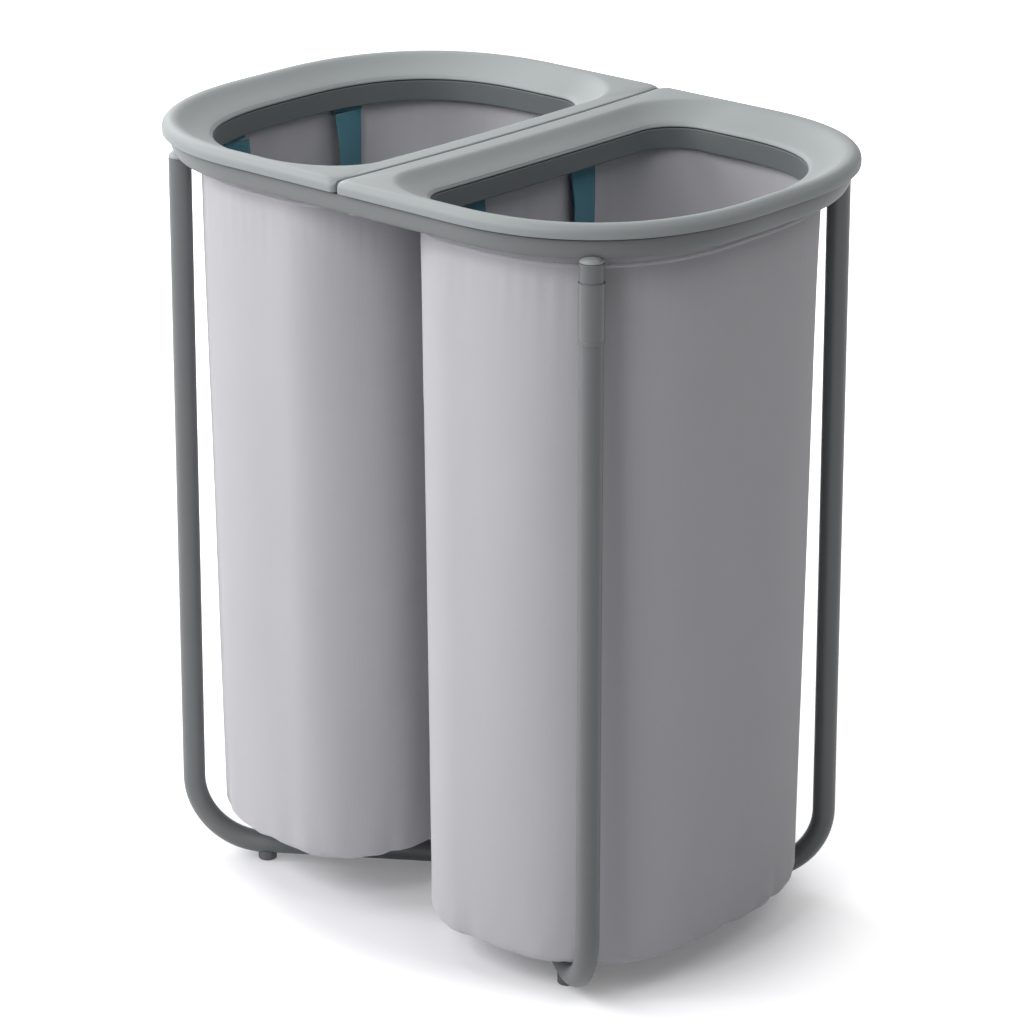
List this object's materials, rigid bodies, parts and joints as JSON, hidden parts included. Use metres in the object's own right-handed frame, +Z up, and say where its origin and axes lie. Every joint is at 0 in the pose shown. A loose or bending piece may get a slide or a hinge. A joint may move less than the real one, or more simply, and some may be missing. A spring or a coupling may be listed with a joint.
{
  "type": "laundry hamper with two bins",
  "caption": "Oval laundry hamper on bent tube legs, with lift-out fabric bags, sloped rims beside each other and webbing loop handles inside.",
  "frame": {"origin": "on the floor under the middle of the hamper", "axes": "+Z up, +X along the hamper's length from the rear bag to the front bag, +Y along the seam between the rims"},
  "size_m": [0.568, 0.398, 0.662],
  "materials": {
    "rim_plastic": "satin moulded",
    "collar_plastic": "moulded matte",
    "ring_plastic": "moulded matte",
    "bag_fabric": "woven polyester",
    "hoop_plastic": "moulded matte",
    "board_plastic": "sheet",
    "webbing": "woven webbing",
    "coated_tube": "powder coated",
    "plug_plastic": "moulded matte",
    "screw_steel": "zinc plated",
    "foot_rubber": "moulded matte",
    "sleeve_film": "smooth film"
  },
  "bodies": {
    "frame": {"top_ring": "ring_plastic", "centre_bar": "ring_plastic", "centre_bar_screw_left": "screw_steel", "centre_bar_screw_right": "screw_steel", "front_left_leg": "coated_tube", "front_left_leg_plug": "plug_plastic", "front_left_leg_screw": "screw_steel", "front_left_foot": "foot_rubber", "front_left_hub_screw": "screw_steel", "front_right_leg": "coated_tube", "front_right_leg_plug": "plug_plastic", "front_right_leg_screw": "screw_steel", "front_right_foot": "foot_rubber", "front_right_hub_screw": "screw_steel", "rear_left_leg": "coated_tube", "rear_left_leg_plug": "plug_plastic", "rear_left_leg_screw": "screw_steel", "rear_left_foot": "foot_rubber", "rear_left_hub_screw": "screw_steel", "rear_right_leg": "coated_tube", "rear_right_leg_plug": "plug_plastic", "rear_right_leg_screw": "screw_steel", "rear_right_foot": "foot_rubber", "rear_right_hub_screw": "screw_steel", "front_leg_sleeve": "sleeve_film", "hub": "plug_plastic", "hub_cover": "ring_plastic"},
    "rear_bag_body": {"rear_bag": "bag_fabric", "rear_bag_hoop": "hoop_plastic", "rear_base_board": "board_plastic", "rear_seam_handle_tab_left": "webbing", "rear_seam_handle_tab_right": "webbing", "rear_end_handle_tab_left": "webbing", "rear_end_handle_tab_right": "webbing"},
    "rear_rim_body": {"rear_rim": "rim_plastic", "rear_rim_collar": "collar_plastic"},
    "rear_seam_handle_body": {"rear_seam_handle": "webbing"},
    "rear_end_handle_body": {"rear_end_handle": "webbing"},
    "front_bag_body": {"front_bag": "bag_fabric", "front_bag_hoop": "hoop_plastic", "front_base_board": "board_plastic", "front_seam_handle_tab_left": "webbing", "front_seam_handle_tab_right": "webbing", "front_end_handle_tab_left": "webbing", "front_end_handle_tab_right": "webbing"},
    "front_rim_body": {"front_rim": "rim_plastic", "front_rim_collar": "collar_plastic"},
    "front_seam_handle_body": {"front_seam_handle": "webbing"},
    "front_end_handle_body": {"front_end_handle": "webbing"}
  },
  "joints": [
    {"name": "rear_bag_lift", "type": "slide", "parent": "frame", "child": "rear_bag_body", "axis": [0, 0, 1], "range_m": [0, 0.62]},
    {"name": "rear_rim_lift", "type": "slide", "parent": "rear_bag_body", "child": "rear_rim_body", "axis": [0, 0, 1], "range_m": [0, 0.1]},
    {"name": "rear_seam_handle_swing", "type": "hinge", "parent": "rear_bag_body", "child": "rear_seam_handle_body", "pos_m": [-0.024, 0, 0.6207], "axis": [0, 1, 0], "range_deg": [0, 45]},
    {"name": "rear_end_handle_swing", "type": "hinge", "parent": "rear_bag_body", "child": "rear_end_handle_body", "pos_m": [-0.24215, 0, 0.6207], "axis": [0, -1, 0], "range_deg": [0, 45]},
    {"name": "front_bag_lift", "type": "slide", "parent": "frame", "child": "front_bag_body", "axis": [0, 0, 1], "range_m": [0, 0.62]},
    {"name": "front_rim_lift", "type": "slide", "parent": "front_bag_body", "child": "front_rim_body", "axis": [0, 0, 1], "range_m": [0, 0.1]},
    {"name": "front_seam_handle_swing", "type": "hinge", "parent": "front_bag_body", "child": "front_seam_handle_body", "pos_m": [0.024, 0, 0.6207], "axis": [0, -1, 0], "range_deg": [0, 45]},
    {"name": "front_end_handle_swing", "type": "hinge", "parent": "front_bag_body", "child": "front_end_handle_body", "pos_m": [0.24215, 0, 0.6207], "axis": [0, 1, 0], "range_deg": [0, 45]}
  ]
}
